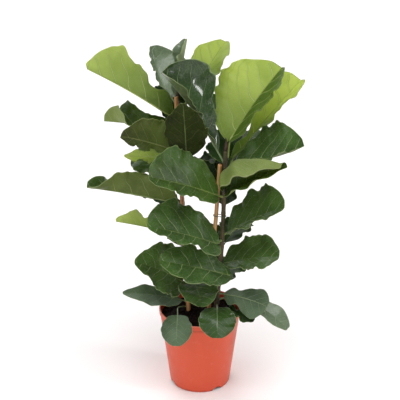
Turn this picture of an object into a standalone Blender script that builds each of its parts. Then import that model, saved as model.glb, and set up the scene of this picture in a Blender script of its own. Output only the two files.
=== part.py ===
"""Potted fiddle leaf fig: two stems, each tied to a bamboo stake, in a tapered nursery pot.

Lengths are in metres and angles in degrees. +Z is up, the pot stands on z = 0 and the plant's
front faces -Y. Headings turn from +X towards +Y. Every leaf is one row of botanical values in
LEAVES, and leaf_surface() turns such a row into a bent, fiddle-shaped blade.
"""

import math

import bmesh
import bpy
import numpy as np
from mathutils import Vector

NAME = "potted_fiddle_leaf_fig"
GAP = 0.0003

# Nursery pot, from its top diameter and height.
POT_TOP_RADIUS = 0.105
POT_HEIGHT = 0.208
POT_BASE_RADIUS = 0.0775
POT_WALL = 0.0024
POT_FLOOR = 0.003
RIM_BAND = 0.012
RIM_STEP = 0.0025
RIM_ROUND = 0.001
FOOT_ROUND = 0.002
NOTCH_HEADINGS = (90, 205, 304, 357)
NOTCH_WIDTH = 0.026
NOTCH_HEIGHT = 0.009
NOTCH_DEPTH = 0.010
POT_STEPS = 48

SOIL_LEVEL = 0.188
SOIL_CROWN = 0.006

# Stems and stakes as points from the soil upwards: where the stem bends, or a stake's two ends.
STEM_PATHS = {
    "left": [(-0.030, 0.019, 0.195), (-0.035, 0.023, 0.33), (-0.044, 0.029, 0.50), (-0.054, 0.032, 0.75)],
    "right": [(0.040, -0.008, 0.195), (0.047, -0.012, 0.28), (0.056, -0.018, 0.42), (0.061, -0.023, 0.64)],
}
STEM_RADIUS = {"left": 0.0060, "right": 0.0065}
STEM_TIP_SHARE = 0.75
STAKE_ENDS = {
    "left": ((-0.025, 0.003, 0.100), (-0.057, 0.016, 0.762)),
    "right": ((0.016, 0.003, 0.100), (0.048, -0.021, 0.605)),
}
STAKE_RADIUS = 0.0055
PLANTED = 0.045
TIE_HEIGHTS = {"left": (0.300, 0.555), "right": (0.290, 0.470)}
TIE_RADIUS = 0.0009
BUD_LENGTH = {"left": 0.030, "right": 0.034}

# Leaf body.
PETIOLE_WIDTH = 0.0042
BLADE_THICKNESS = 0.0011
TIP_WIDTH = 0.002
CURL_RADIUS = 0.010
PETIOLE_ROWS = 2
BLADE_ROWS = (0.0, 0.05, 0.15, 0.30, 0.46, 0.62, 0.78, 0.91, 1.0)


def leaf(stem, height, heading, rise, length, width, **more):
    """One leaf's values. The blade leaves its petiole at this heading and rise."""
    values = {
        "stem": stem,
        "height": height,
        "heading": heading,
        "rise": rise,
        "length": length,
        "width": width,
        "arch": -10,
        "roll": 0,
        "tip_roll": 0,
        "fold": (12, 12),
        "cup": (8, 8),
        "petiole": 0.03,
        "lift": 30,
        "leave": heading,
        "toward": more.get("leave", heading),
        "form": "fiddle",
        "share": (1.0, 1.0),
        "ears": more.get("share", (1.0, 1.0)),
        "columns": 4,
        "wave": 0.006,
        "phase": 0.0,
    }
    values.update(more)
    return values


LEAVES = {
    # Right stem, from its bud down.
    "leaf_r01": leaf("right", 0.625, 35, 51, 0.208, 0.225, arch=-12, fold=(30, 16), share=(1.0, 0.64),
                     petiole=0.048, lift=77, form="wide", ears=(0.5, 0.7), wave=0.003),
    "leaf_r02": leaf("right", 0.612, 172, 64, 0.220, 0.19, arch=-20, roll=-15, fold=(45, 40), cup=(8, 40),
                     share=(0.5, 1.0), petiole=0.040, lift=50, leave=138, form="spoon"),
    "leaf_r03": leaf("right", 0.575, 28, 43, 0.243, 0.150, arch=-2, fold=(30, 20), share=(1.0, 1.0),
                     petiole=0.054, lift=57, leave=45, form="flared"),
    "leaf_r04": leaf("right", 0.578, -8, 5, 0.158, 0.20, arch=24, roll=28, fold=(10, 45),
                     share=(0.95, 0.30), ears=(0.3, 0.4), petiole=0.046, lift=48, leave=5, form="wide"),
    "leaf_r05": leaf("right", 0.532, -20, 36, 0.160, 0.175, arch=-14, roll=10, fold=(50, 10), cup=(195, 8),
                     share=(1.6, 0.9), petiole=0.012, lift=45, form="egg", columns=8),
    "leaf_r06": leaf("right", 0.523, -155, 28, 0.182, 0.175, roll=-50, fold=(20, 5), share=(0.42, 1.0),
                     ears=(0.95, 0.7), petiole=0.032, lift=28, leave=-135, form="lobed"),
    "leaf_r07": leaf("right", 0.423, -25, 40, 0.160, 0.165, arch=-17, roll=35, fold=(5, 30),
                     share=(1.0, 0.70), petiole=0.020, lift=40, form="wide"),
    "leaf_r08": leaf("right", 0.405, -157, 27, 0.190, 0.170, arch=-7, roll=-38, fold=(15, 5),
                     share=(0.45, 1.0), ears=(1.5, 0.8), petiole=0.030, lift=10, leave=-120, form="lobed"),
    "leaf_r09": leaf("right", 0.337, -12, 20, 0.133, 0.14, arch=-15, roll=25, fold=(5, 20),
                     share=(1.0, 0.9), petiole=0.012, form="wide", ears=(0.9, 0.4)),
    "leaf_r10": leaf("right", 0.255, -25, 5, 0.110, 0.09, arch=-20, fold=(15, -60), petiole=0.025, lift=15,
                     leave=-45, wave=0.0015),
    "leaf_r11": leaf("right", 0.235, -24, 2, 0.168, 0.060, arch=-45, roll=20, petiole=0.030, lift=10,
                     leave=5, wave=0.003),
    "leaf_r12": leaf("right", 0.223, -90, -5, 0.081, 0.096, arch=-60, petiole=0.065, lift=18, form="round",
                     wave=0.003),
    "leaf_r13": leaf("right", 0.308, -160, 24, 0.190, 0.125, arch=-5, roll=-38, fold=(10, 10),
                     share=(0.9, 0.85), petiole=0.040, lift=25, leave=-62, form="broad", ears=(0.6, 0.0)),
    # Left stem, from its bud down.
    "leaf_l01": leaf("left", 0.745, 40, 75, 0.128, 0.055, arch=0, fold=(60, 60), petiole=0.022, lift=75,
                     leave=100),
    "leaf_l02": leaf("left", 0.740, 118, 20, 0.145, 0.11, arch=50, fold=(45, 10), share=(0.60, 1.4),
                     petiole=0.025, lift=40, leave=140, form="broad"),
    "leaf_l03": leaf("left", 0.728, 44, 48, 0.165, 0.185, arch=-8, fold=(20, 12), share=(0.60, 0.60),
                     petiole=0.038, lift=44, leave=26, form="wide"),
    "leaf_l04": leaf("left", 0.700, -155, 38, 0.235, 0.170, arch=-8, roll=40, fold=(70, 60),
                     share=(1.0, 0.95), petiole=0.030, lift=40),
    "leaf_l05": leaf("left", 0.662, 178, 12, 0.150, 0.105, roll=-25, tip_roll=80, fold=(25, 25),
                     cup=(40, 40), petiole=0.030),
    "leaf_l06": leaf("left", 0.620, -158, 26, 0.135, 0.13, roll=60, fold=(10, -15), share=(1.0, 0.35),
                     petiole=0.020, form="broad"),
    "leaf_l07": leaf("left", 0.600, -95, 66, 0.165, 0.105, arch=-5, fold=(10, 10), petiole=0.045, lift=38,
                     leave=-55, toward=-70, form="egg"),
    "leaf_l08": leaf("left", 0.545, 156, 24, 0.106, 0.11, arch=-5, roll=-30, petiole=0.025),
    "leaf_l09": leaf("left", 0.485, -165, 18, 0.220, 0.112, arch=-5, roll=60, tip_roll=-80, fold=(25, 25),
                     cup=(40, 40), petiole=0.020, lift=20, form="round"),
    "leaf_l10": leaf("left", 0.400, -160, 24, 0.150, 0.07, arch=-8, roll=30, fold=(50, 40), petiole=0.030,
                     lift=20),
    "leaf_l12": leaf("left", 0.270, -155, 42, 0.145, 0.15, arch=-20, roll=-45, petiole=0.015, form="egg"),
    "leaf_l13": leaf("left", 0.280, -78, 4, 0.105, 0.105, arch=-26, petiole=0.028, lift=5, leave=-58,
                     form="broad"),
    "leaf_l14": leaf("left", 0.215, -165, 22, 0.150, 0.10, arch=-14, roll=-15, share=(1.25, 0.6),
                     petiole=0.020, lift=20, form="lance", wave=0.003),
    "leaf_l15": leaf("left", 0.201, -92, -15, 0.079, 0.080, arch=-45, petiole=0.108, lift=14, leave=-145,
                     toward=-101, form="round", wave=0.003),
    # Behind, from the top down.
    "leaf_b01": leaf("left", 0.648, 50, 15, 0.200, 0.14),
    "leaf_b02": leaf("left", 0.580, 95, 15, 0.200, 0.13),
    "leaf_b03": leaf("right", 0.550, 75, 20, 0.200, 0.14),
    "leaf_b04": leaf("left", 0.570, 14, 13, 0.088, 0.085),
    "leaf_b05": leaf("right", 0.478, 85, 20, 0.135, 0.11),
    "leaf_b06": leaf("left", 0.440, 125, 15, 0.150, 0.12, lift=20),
    "leaf_b07": leaf("right", 0.360, 115, 10, 0.110, 0.10, lift=20),
    "leaf_b08": leaf("left", 0.350, 105, 10, 0.160, 0.13, lift=20),
    "leaf_b09": leaf("left", 0.250, 90, 0, 0.150, 0.12, lift=20),
    "leaf_b10": leaf("right", 0.260, 70, 5, 0.130, 0.11, lift=20),
    "leaf_b11": leaf("right", 0.212, -35, -5, 0.075, 0.06, lift=10),
    "leaf_b12": leaf("right", 0.500, 110, 35, 0.130, 0.11, petiole=0.020, form="broad"),
    "leaf_b13": leaf("right", 0.385, 60, 15, 0.100, 0.09, petiole=0.020, lift=20, form="broad"),
    "leaf_b14": leaf("left", 0.672, 120, 46, 0.115, 0.11, arch=-10, share=(0.5, 1.0), petiole=0.020,
                     lift=30, form="broad"),
    "leaf_b15": leaf("left", 0.598, -174, 7, 0.112, 0.080, arch=-5, roll=55, share=(0.5, 0.9),
                     petiole=0.020, lift=20, form="broad"),
    "leaf_b16": leaf("right", 0.600, 104, 34, 0.066, 0.07, petiole=0.018, lift=20, form="broad"),
}


def stem_centre(stem, height):
    """The point of this stem's axis at this height."""
    points = np.array(STEM_PATHS[stem])
    return np.array([np.interp(height, points[:, 2], points[:, axis]) for axis in range(3)])


def stem_radius(stem, height):
    """Stems taper evenly from the soil to the bud."""
    low, high = STEM_PATHS[stem][0][2], STEM_PATHS[stem][-1][2]
    share = (height - low) / (high - low)
    return STEM_RADIUS[stem] * (1 + (STEM_TIP_SHARE - 1) * share)


def half_width(t, spec, v):
    """Half the blade's width to one side, as a share of its widest; t is 0 at the petiole, 1 at the tip."""
    widest, fullness, lobe, lobe_length = {
        "fiddle": (1.95, 0.66, 0.42, 0.12),
        "flared": (3.30, 0.55, 0.18, 0.11),
        "spoon": (2.20, 0.70, 0.14, 0.10),
        "wide": (1.30, 0.60, 0.30, 0.12),
        "lobed": (1.30, 0.60, 0.30, 0.17),
        "egg": (0.72, 0.80, 0.10, 0.08),
        "broad": (1.10, 0.60, 0.16, 0.09),
        "round": (1.10, 0.56, 0.12, 0.08),
        "lance": (0.95, 0.85, 0.10, 0.08),
    }[spec["form"]]
    blade = np.sin(np.pi * t**widest) ** fullness * np.where(v > 0, *spec["share"])
    auricle = lobe * np.exp(-(((t - 0.12) / lobe_length) ** 2)) * np.where(v > 0, *spec["ears"])
    return (blade + auricle) * np.clip(t / 0.03, 0, 1)


def smooth(t, start):
    """0 up to start, then an eased rise to 1 at the tip."""
    x = np.clip((t - start) / (1 - start), 0, 1)
    return x * x * (3 - 2 * x)


def directions(spec, t):
    """The midrib's forward, up and side vectors at t, after heading, rise and roll."""
    heading = math.radians(spec["heading"])
    rise = np.radians(spec["rise"] + spec["arch"] * t)
    roll = np.radians(spec["roll"] + spec["tip_roll"] * smooth(t, 0.55))[..., None]
    along = np.array([math.cos(heading), math.sin(heading), 0.0])
    level = np.array([-math.sin(heading), math.cos(heading), 0.0])
    top = np.array([0.0, 0.0, 1.0])
    forward = np.cos(rise)[..., None] * along + np.sin(rise)[..., None] * top
    up = np.cos(rise)[..., None] * top - np.sin(rise)[..., None] * along
    return forward, np.cos(roll) * up - np.sin(roll) * level, np.cos(roll) * level + np.sin(roll) * up


def petiole_ends(spec):
    """Where the petiole leaves the stem, its direction there, and where the blade starts."""
    leave, lift = math.radians(spec["leave"]), math.radians(spec["lift"])
    flat = np.array([math.cos(leave), math.sin(leave), 0.0])
    out = math.cos(lift) * flat + math.sin(lift) * np.array([0.0, 0.0, 1.0])
    clear = stem_radius(spec["stem"], spec["height"]) + GAP
    foot = PETIOLE_WIDTH / 2 * math.sin(abs(lift))
    start = stem_centre(spec["stem"], spec["height"]) + flat * (clear + foot)
    toward = math.radians(spec["toward"])
    reach = np.array([math.cos(lift) * math.cos(toward), math.cos(lift) * math.sin(toward), math.sin(lift)])
    return start, out, start + reach * spec["petiole"]


def midrib(spec, t):
    """Points along the blade's bent midrib."""
    steps = np.linspace(0, 1, 49)
    forward, _, _ = directions(spec, (steps[1:] + steps[:-1]) / 2)
    run = np.vstack([np.zeros(3), np.cumsum(forward * spec["length"] / 48, axis=0)])
    inside = np.stack([np.interp(t, steps, run[:, axis]) for axis in range(3)], -1)
    first, _, _ = directions(spec, np.zeros(1))
    return petiole_ends(spec)[2] + inside + np.minimum(t, 0)[..., None] * first[0] * spec["length"]


def leaf_surface(spec, t, v):
    """Blade points at t along the midrib and v from -1 to 1 across it, as arrays of one shape."""
    across = np.abs(v)
    swept = t - 0.075 * (1 - t) ** 4 * across**2 + 0.03 * t**6 * across**2
    _, up, side = directions(spec, swept)
    reach = half_width(t, spec, v) * spec["width"] / 2
    reach = np.maximum(reach, np.where(t > 0.5, TIP_WIDTH, PETIOLE_WIDTH) / 2)
    fold = np.radians(np.where(v > 0, *spec["fold"]))
    bend = np.minimum(np.radians(np.maximum(np.where(v > 0, *spec["cup"]), 1)), reach / CURL_RADIUS)
    out = reach * (np.sin(fold + bend * across) - np.sin(fold)) / bend
    rise = reach * (np.cos(fold) - np.cos(fold + bend * across)) / bend
    turns = 3 * t + spec["phase"] + np.where(v > 0, 0.0, 0.37)
    rise = rise + spec["wave"] * across**2 * np.sin(2 * np.pi * turns) * np.sin(np.pi * t)
    return midrib(spec, swept) + side * (np.sign(v) * out)[..., None] + up * rise[..., None]


def petiole_surface(spec, s, v):
    """Points on the flat strip that becomes the petiole, s from 0 at the stem to 1 at the blade."""
    start, out, end = petiole_ends(spec)
    forward, _, side = (vectors[0] for vectors in directions(spec, np.zeros(1)))
    s = s[..., None]
    reach = spec["petiole"]
    centre = (2 * s**3 - 3 * s**2 + 1) * start + (3 * s**2 - 2 * s**3) * end
    centre = centre + reach * ((s**3 - 2 * s**2 + s) * out + (s**3 - s**2) * forward)
    level = np.cross(np.array([0.0, 0.0, 1.0]), out)
    level = level / np.linalg.norm(level)
    across = (1 - s) * level + s * side
    across = across / np.linalg.norm(across, axis=-1, keepdims=True)
    return centre + across * (v * PETIOLE_WIDTH / 2)[..., None]


def new_object(name, mesh, collection, colour, roughness, metallic=0.0):
    """An object of this mesh in this collection, with a material of its own."""
    material = bpy.data.materials.new(name)
    material.use_nodes = True
    surface = material.node_tree.nodes["Principled BSDF"]
    surface.inputs["Base Color"].default_value = (*colour, 1)
    surface.inputs["Roughness"].default_value = roughness
    surface.inputs["Metallic"].default_value = metallic
    material.diffuse_color = (*colour, 1)
    mesh.materials.append(material)
    obj = bpy.data.objects.new(name, mesh)
    collection.objects.link(obj)
    return obj


def turned(name, profile, steps, collection, colour, roughness):
    """A solid turned about Z from (radius, height) points that start and end on the axis."""
    mesh = bpy.data.meshes.new(name)
    bm = bmesh.new()
    verts = [bm.verts.new((radius, 0, height)) for radius, height in profile]
    for first, second in zip(verts, verts[1:]):
        bm.edges.new((first, second))
    bm.to_mesh(mesh)
    bm.free()
    obj = new_object(name, mesh, collection, colour, roughness)
    screw = obj.modifiers.new("Turn", "SCREW")
    screw.steps = screw.render_steps = steps
    screw.use_merge_vertices = True
    screw.merge_threshold = 0.0001
    return obj


def tube(name, points, radii, collection, colour, roughness, ring=2, closed=False):
    """A round rod along these points, with a radius at each."""
    curve = bpy.data.curves.new(name, "CURVE")
    curve.dimensions = "3D"
    curve.bevel_depth = 1.0
    curve.bevel_resolution = ring
    curve.use_fill_caps = not closed
    spline = curve.splines.new("POLY")
    spline.points.add(len(points) - 1)
    spline.use_cyclic_u = closed
    for point, position, radius in zip(spline.points, points, radii):
        point.co = (*position, 1)
        point.radius = radius
    return new_object(name, curve, collection, colour, roughness)


def pot_radius(height):
    """The pot body's outer radius at this height."""
    under_rim = POT_HEIGHT - RIM_BAND
    share = height / under_rim
    return POT_BASE_RADIUS + (POT_TOP_RADIUS - RIM_STEP - POT_BASE_RADIUS) * share


def make_pot(collection, cutters):
    under_rim = POT_HEIGHT - RIM_BAND
    inside = POT_TOP_RADIUS - RIM_STEP - POT_WALL
    profile = [
        (0, POT_FLOOR),
        (pot_radius(POT_FLOOR) - POT_WALL - FOOT_ROUND, POT_FLOOR),
        (pot_radius(POT_FLOOR + FOOT_ROUND) - POT_WALL, POT_FLOOR + FOOT_ROUND),
        (inside, under_rim),
        (inside + RIM_ROUND, POT_HEIGHT - RIM_ROUND),
        (inside + 2 * RIM_ROUND, POT_HEIGHT),
        (POT_TOP_RADIUS - RIM_ROUND, POT_HEIGHT),
        (POT_TOP_RADIUS, POT_HEIGHT - RIM_ROUND),
        (POT_TOP_RADIUS - RIM_ROUND / 2, under_rim),
        (pot_radius(under_rim), under_rim - RIM_ROUND),
        (pot_radius(FOOT_ROUND), FOOT_ROUND),
        (POT_BASE_RADIUS - FOOT_ROUND, 0),
        (0, 0),
    ]
    pot = turned("pot", profile, POT_STEPS, collection, (0.62, 0.11, 0.055), 0.45)
    for index, heading in enumerate(NOTCH_HEADINGS):
        mesh = bpy.data.meshes.new(f"notch_{index}")
        bm = bmesh.new()
        bmesh.ops.create_cube(bm, size=1)
        bmesh.ops.scale(bm, vec=(2 * NOTCH_DEPTH, NOTCH_WIDTH, 2 * NOTCH_HEIGHT), verts=bm.verts)
        bm.to_mesh(mesh)
        bm.free()
        cutter = bpy.data.objects.new(f"notch_{index}", mesh)
        turn = math.radians(heading)
        cutter.location = (POT_BASE_RADIUS * math.cos(turn), POT_BASE_RADIUS * math.sin(turn), 0)
        cutter.rotation_euler = (0, 0, turn)
        add_cutter(pot, cutter, cutters)
    return pot


def add_cutter(target, cutter, cutters):
    """Cuts one hidden shape out of an object."""
    cutter.hide_render = True
    cutter.display_type = "WIRE"
    cutters.objects.link(cutter)
    cut = target.modifiers.new(f"Cut {cutter.name}", "BOOLEAN")
    cut.operation = "DIFFERENCE"
    cut.solver = "EXACT"
    cut.object = cutter


def socket(name, bottom, top, radius):
    """A cylinder between two points, slightly longer than the rod that it makes room for."""
    axis = Vector(top) - Vector(bottom)
    mesh = bpy.data.meshes.new(name)
    bm = bmesh.new()
    bmesh.ops.create_cone(
        bm, cap_ends=True, segments=16, radius1=radius, radius2=radius, depth=axis.length
    )
    bm.to_mesh(mesh)
    bm.free()
    obj = bpy.data.objects.new(name, mesh)
    obj.location = (Vector(bottom) + Vector(top)) / 2
    obj.rotation_mode = "QUATERNION"
    obj.rotation_quaternion = axis.to_track_quat("Z", "Y")
    return obj


def make_soil(collection, cutters):
    wall = POT_WALL + GAP
    floor = POT_FLOOR + GAP
    profile = [
        (0, SOIL_LEVEL + SOIL_CROWN),
        (0.045, SOIL_LEVEL + 0.7 * SOIL_CROWN),
        (0.078, SOIL_LEVEL + 0.2 * SOIL_CROWN),
        (pot_radius(SOIL_LEVEL) - wall, SOIL_LEVEL),
        (pot_radius(floor + FOOT_ROUND) - wall, floor + FOOT_ROUND),
        (pot_radius(floor) - wall - FOOT_ROUND, floor),
        (0, floor),
    ]
    soil = turned("soil", profile, POT_STEPS, collection, (0.035, 0.02, 0.014), 0.95)
    for stem, points in STEM_PATHS.items():
        x, y, z = points[0]
        radius = STEM_RADIUS[stem] * 1.04 + GAP
        foot = (x, y, z - PLANTED - GAP)
        add_cutter(soil, socket(f"{stem}_stem_hole", foot, (x, y, z + 0.05), radius), cutters)
        low, high = (Vector(end) for end in STAKE_ENDS[stem])
        along = (high - low).normalized()
        hole = socket(f"{stem}_stake_hole", low - along * GAP, low + along * 0.13, STAKE_RADIUS * 1.04 + GAP)
        add_cutter(soil, hole, cutters)
    return soil


def make_stem(stem, collection):
    """A woody stem from its planted foot to the bud."""
    low, high = STEM_PATHS[stem][0][2], STEM_PATHS[stem][-1][2]
    heights = np.linspace(low, high, 11)
    points = [stem_centre(stem, height) for height in heights]
    points.insert(0, points[0] - np.array([0, 0, PLANTED]))
    radii = [stem_radius(stem, max(point[2], low)) for point in points]
    return tube(f"stem_{stem}", points, radii, collection, (0.13, 0.11, 0.05), 0.7)


def make_stake(stem, collection):
    """A bamboo cane."""
    low, high = (np.array(end) for end in STAKE_ENDS[stem])
    points = [low + (high - low) * share for share in (0, 0.5, 1)]
    return tube(f"stake_{stem}", points, [STAKE_RADIUS] * 3, collection, (0.60, 0.36, 0.16), 0.55)


def stake_centre(stem, height):
    low, high = (np.array(end) for end in STAKE_ENDS[stem])
    return low + (high - low) * (height - low[2]) / (high[2] - low[2])


def make_tie(name, stem, height, collection):
    """A level wire loop round a stem and its stake."""
    circles = [
        (stem_centre(stem, height), stem_radius(stem, height)),
        (stake_centre(stem, height), STAKE_RADIUS),
    ]
    span = circles[1][0][:2] - circles[0][0][:2]
    facing = math.atan2(span[1], span[0])
    points = []
    for turn, (centre, radius) in zip((math.pi, 0.0), circles):
        for step in range(7):
            angle = facing + turn + math.radians(-90 + 30 * step)
            reach = (radius + TIE_RADIUS) * 1.04 + GAP
            points.append((centre[0] + reach * math.cos(angle), centre[1] + reach * math.sin(angle), height))
    colour = (0.05, 0.08, 0.04)
    return tube(name, points, [TIE_RADIUS] * len(points), collection, colour, 0.5, ring=1, closed=True)


def make_bud(stem, collection):
    """The pointed sheath over a stem's growing tip."""
    foot = stem_centre(stem, STEM_PATHS[stem][-1][2])
    radius = stem_radius(stem, foot[2])
    shares = ((0.0, 0.85), (0.25, 1.05), (0.6, 0.65), (1.0, 0.12))
    lift = np.array([0.0, 0.0, BUD_LENGTH[stem]])
    points = [foot + np.array([0, 0, 2 * GAP]) + lift * share for share, _ in shares]
    radii = [radius * size for _, size in shares]
    return tube(f"bud_{stem}", points, radii, collection, (0.20, 0.10, 0.05), 0.7)


def make_leaf(name, spec, collection):
    """A blade and its petiole as one grid, given its thickness by Solidify."""
    rows, columns = PETIOLE_ROWS + len(BLADE_ROWS), spec["columns"]
    mesh = bpy.data.meshes.new(name)
    bm = bmesh.new()
    bmesh.ops.create_grid(bm, x_segments=rows - 1, y_segments=columns, size=1)
    place = np.array([vert.co[:] for vert in bm.verts])
    row = np.rint((place[:, 0] + 1) / 2 * (rows - 1)).astype(int)
    v = place[:, 1]
    t = np.array(BLADE_ROWS)[np.maximum(row - PETIOLE_ROWS, 0)]
    s = np.minimum(row / PETIOLE_ROWS, 1)
    on_petiole = (row <= PETIOLE_ROWS)[:, None]
    spots = np.where(on_petiole, petiole_surface(spec, s, v), leaf_surface(spec, t, v))
    for vert, spot in zip(bm.verts, spots):
        vert.co = spot
    bm.to_mesh(mesh)
    bm.free()
    tone = 0.9 if spec["height"] > 0.6 else 0.7
    obj = new_object(name, mesh, collection, (0.07 * tone, 0.17 * tone, 0.045 * tone), 0.35)
    thick = obj.vertex_groups.new(name="thick")
    for index, (vert_row, cross) in enumerate(zip(row, v)):
        weight = 1.0 if vert_row <= PETIOLE_ROWS else BLADE_THICKNESS / PETIOLE_WIDTH
        if abs(cross) < 0.1:
            weight = max(weight, 1 - 0.1 * (vert_row - PETIOLE_ROWS))
        thick.add([index], weight, "REPLACE")
    solidify = obj.modifiers.new("Thickness", "SOLIDIFY")
    solidify.thickness = PETIOLE_WIDTH
    solidify.offset = 0
    solidify.vertex_group = thick.name
    solidify.thickness_vertex_group = 0.0
    return obj


def main():
    for obj in list(bpy.data.objects):
        bpy.data.objects.remove(obj, do_unlink=True)
    parts = bpy.data.collections.new(NAME)
    cutters = bpy.data.collections.new("cutters")
    bpy.context.scene.collection.children.link(parts)
    bpy.context.scene.collection.children.link(cutters)
    make_pot(parts, cutters)
    make_soil(parts, cutters)
    for stem in STEM_PATHS:
        make_stem(stem, parts)
        make_stake(stem, parts)
        make_bud(stem, parts)
        for index, height in enumerate(TIE_HEIGHTS[stem], 1):
            make_tie(f"tie_{stem}_{index}", stem, height, parts)
    for name, spec in LEAVES.items():
        make_leaf(name, spec, parts)


main()
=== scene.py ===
import math

import bmesh
import bpy
import numpy as np
from mathutils import Matrix, Vector, noise


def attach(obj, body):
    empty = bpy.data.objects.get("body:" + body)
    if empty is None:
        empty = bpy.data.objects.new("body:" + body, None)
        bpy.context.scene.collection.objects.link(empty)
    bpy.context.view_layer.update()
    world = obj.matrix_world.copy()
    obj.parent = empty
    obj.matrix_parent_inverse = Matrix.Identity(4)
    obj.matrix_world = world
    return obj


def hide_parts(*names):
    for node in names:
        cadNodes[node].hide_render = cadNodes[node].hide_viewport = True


# Potted fiddle leaf fig: metres, +Z up, the plant's front faces -Y, angles in degrees.
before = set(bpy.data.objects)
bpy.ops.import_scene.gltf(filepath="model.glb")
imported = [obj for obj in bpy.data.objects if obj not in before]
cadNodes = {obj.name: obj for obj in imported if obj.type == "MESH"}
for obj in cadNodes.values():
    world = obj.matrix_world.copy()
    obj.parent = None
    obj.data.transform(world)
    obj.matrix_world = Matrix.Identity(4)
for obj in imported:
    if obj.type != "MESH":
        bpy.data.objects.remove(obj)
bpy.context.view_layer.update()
print("frame loaded with", len(cadNodes), "nodes")


def linear(hexColour):
    # sRGB hex to the linear values that shaders take
    parts = [int(hexColour[i:i + 2], 16) / 255 for i in (1, 3, 5)]
    return (*(c / 12.92 if c <= 0.04045 else ((c + 0.055) / 1.055) ** 2.4 for c in parts), 1.0)


def addNode(tree, kind, inputs=None, output=0, **settings):
    # adds one shader node and returns the socket it gives; an input is a value, a hex colour or a socket
    node = tree.nodes.new("ShaderNode" + kind)
    for name, value in settings.items():
        setattr(node, name, value)
    for socket, value in (inputs or {}).items():
        if isinstance(value, bpy.types.NodeSocket):
            tree.links.new(value, node.inputs[socket])
        else:
            node.inputs[socket].default_value = linear(value) if isinstance(value, str) else value
    return node.outputs[output]


smoothly = {"interpolation_type": "SMOOTHSTEP"}


def perMetre(millimetres):
    # a pattern's scale on object coordinates, from the real size of its marks
    return 1000 / millimetres


def newMaterial(name, roughness, ior=1.5):
    # a named material, its tree, its shader and the object's own coordinates
    material = bpy.data.materials.new(name)
    material.use_nodes = True
    tree = material.node_tree
    shader = tree.nodes["Principled BSDF"]
    shader.inputs["Roughness"].default_value = roughness
    shader.inputs["IOR"].default_value = ior
    return material, tree, shader, addNode(tree, "TexCoord", output="Object")


def feed(tree, shader, **sources):
    # links sockets to the shader's inputs; an underscore stands for a space
    for socket, source in sources.items():
        tree.links.new(source, shader.inputs[socket.replace("_", " ")])


def addObject(name, data):
    obj = bpy.data.objects.new(name, data)
    bpy.context.scene.collection.objects.link(obj)
    return obj


def meshFrom(bm, name):
    mesh = bpy.data.meshes.new(name)
    bm.to_mesh(mesh)
    bm.free()
    return mesh


def makePiece(name, mesh, materials, replaces=None):
    # puts a mesh in the scene as a piece of the plant, in place of a CAD node if one is named
    obj = addObject(name, mesh)
    for material in materials:
        mesh.materials.append(material)
    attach(obj, "root")
    if replaces:
        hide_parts(replaces)
    return obj


def shadeSmooth(mesh):
    mesh.polygons.foreach_set("use_smooth", [True] * len(mesh.polygons))


def tubeMesh(name, points, radii, ring):
    # a round rod along points, a bevelled curve turned to mesh, with its caps sewn on
    curve = bpy.data.curves.new(name, "CURVE")
    curve.dimensions = "3D"
    curve.bevel_depth = 1.0
    curve.bevel_resolution = ring
    curve.use_fill_caps = True
    spline = curve.splines.new("POLY")
    spline.points.add(len(points) - 1)
    for point, position, radius in zip(spline.points, points, radii):
        point.co = (*position, 1)
        point.radius = radius
    source = bpy.data.objects.new(name, curve)
    mesh = bpy.data.meshes.new_from_object(source)
    bpy.data.objects.remove(source)
    bpy.data.curves.remove(curve)
    mesh.name = name
    bm = bmesh.new()
    bm.from_mesh(mesh)
    bmesh.ops.remove_doubles(bm, verts=bm.verts, dist=0.00002)
    bmesh.ops.recalc_face_normals(bm, faces=bm.faces)
    bm.to_mesh(mesh)
    bm.free()
    shadeSmooth(mesh)
    return mesh


# the stems' centre lines run from the soil up, as in the CAD
stemPaths = {
    "left": [(-0.030, 0.019, 0.195), (-0.035, 0.023, 0.33), (-0.044, 0.029, 0.50), (-0.054, 0.032, 0.75)],
    "right": [(0.040, -0.008, 0.195), (0.047, -0.012, 0.28), (0.056, -0.018, 0.42), (0.061, -0.023, 0.64)],
}
stemForm = {
    "radius": {"left": 0.0060, "right": 0.0065},
    "taper": 0.25,  # the share of its radius that a stem loses on the way up
    "planted": 0.045,  # how deep it goes into the soil
    "jointSwell": 0.14, "jointReach": 0.003,  # the ring where a leaf sits, as a share of the radius
}
leafForm = {
    "rows": 72,
    "columns": 40,
    "thickness": 0.0007,
    "petioleWidth": 0.0042,
    "petioleGap": 0.0003,  # what the CAD leaves clear between petiole and stem
    "tipWidth": 0.002,
    "curlRadius": 0.010,  # no blade bends more tightly
    "earPlace": 0.12, "cornerLength": 0.03,  # shares of the blade's length
    "sweptBase": 0.075, "sweptTip": 0.03,  # the margin runs back by the petiole and on at the tip
    "marginWaves": 3, "marginShift": 0.37,  # waves in a margin, and how far the other one is out of step
    "pucker": 0.0009,  # how far the blade bulges between two side veins
    "puckerWidth": 0.06,  # a half blade narrower than this bulges less
    "ripple": 0.0022, "rippleTurns": (6.5, 11),  # the margin's small waves
    "swell": 0.0022, "swellTurns": 1.9,  # slow uneven waves over the whole blade
    "lobes": 0.045, "lobeTurns": (4.3, 9.1),  # the outline swings in and out by this share of its width
    "roughLength": 0.15,  # a blade shorter than this is smoother
    "veinSpacing": 0.19,  # along the midrib, as a share of the blade
    "veinLean": 0.62,
    "veinBend": 0.9,
}


def leaf(stem, height, heading, rise, length, width, **more):
    # one leaf's values: the blade leaves its petiole at this heading and rise, arches and rolls over its
    # length, and folds and cups on its left and right; calm is how much of the waves it has
    values = {
        "stem": stem, "height": height, "heading": heading, "rise": rise, "length": length, "width": width,
        "arch": -10, "roll": 0, "tipRoll": 0, "fold": (12, 12), "cup": (8, 8), "petiole": 0.03, "lift": 30,
        "leave": heading, "toward": more.get("leave", heading), "form": "fiddle", "share": (1.0, 1.0),
        "ears": more.get("share", (1.0, 1.0)), "wave": 0.006, "calm": 1.0,
    }
    values.update(more)
    return values


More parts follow.
